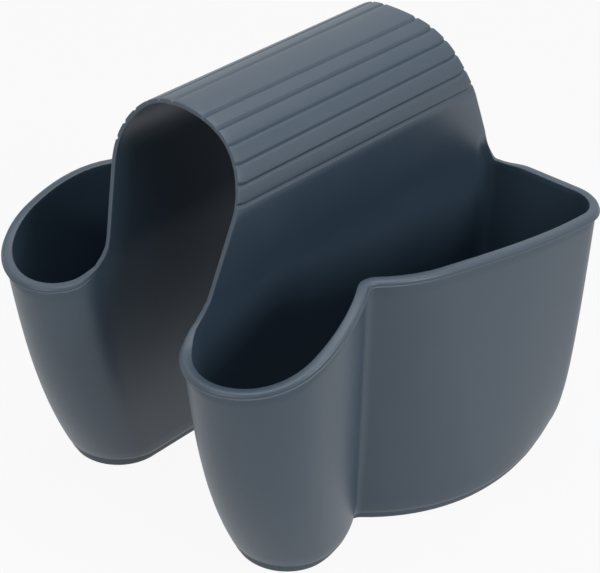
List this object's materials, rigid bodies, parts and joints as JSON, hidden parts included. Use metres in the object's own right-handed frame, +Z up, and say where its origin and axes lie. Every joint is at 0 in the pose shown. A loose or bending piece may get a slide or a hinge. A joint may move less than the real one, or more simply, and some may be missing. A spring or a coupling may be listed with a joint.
{
  "type": "kitchen sink caddy",
  "caption": "Flexible rubber caddy that saddles a sink divider: a ribbed arch between hanging pockets, each a slim tube opening into a wide bin with a rolled lip.",
  "frame": {"origin": "middle of the footprint, on the floor the feet stand on", "axes": "+X across the sink divider, +Y along it from the tubes to the wide bins, +Z up"},
  "size_m": [0.1656, 0.1828, 0.1652],
  "materials": {
    "rubber": "matte moulded"
  },
  "bodies": {
    "saddle": {"saddle_crown": "rubber"},
    "left_side": {"left_leg": "rubber", "left_pocket": "rubber", "left_rim": "rubber", "left_floor": "rubber"},
    "right_side": {"right_leg": "rubber", "right_pocket": "rubber", "right_rim": "rubber", "right_floor": "rubber"}
  },
  "joints": [
    {"name": "right_flex", "type": "hinge", "parent": "saddle", "child": "right_side", "pos_m": [0.01837, 0, 0.15765], "axis": [0, -1, 0], "range_deg": [-6, 20], "stiffness_Nm_per_rad": 0.8},
    {"name": "left_flex", "type": "hinge", "parent": "saddle", "child": "left_side", "pos_m": [-0.01837, 0, 0.15765], "axis": [0, 1, 0], "range_deg": [-6, 20], "stiffness_Nm_per_rad": 0.8}
  ]
}
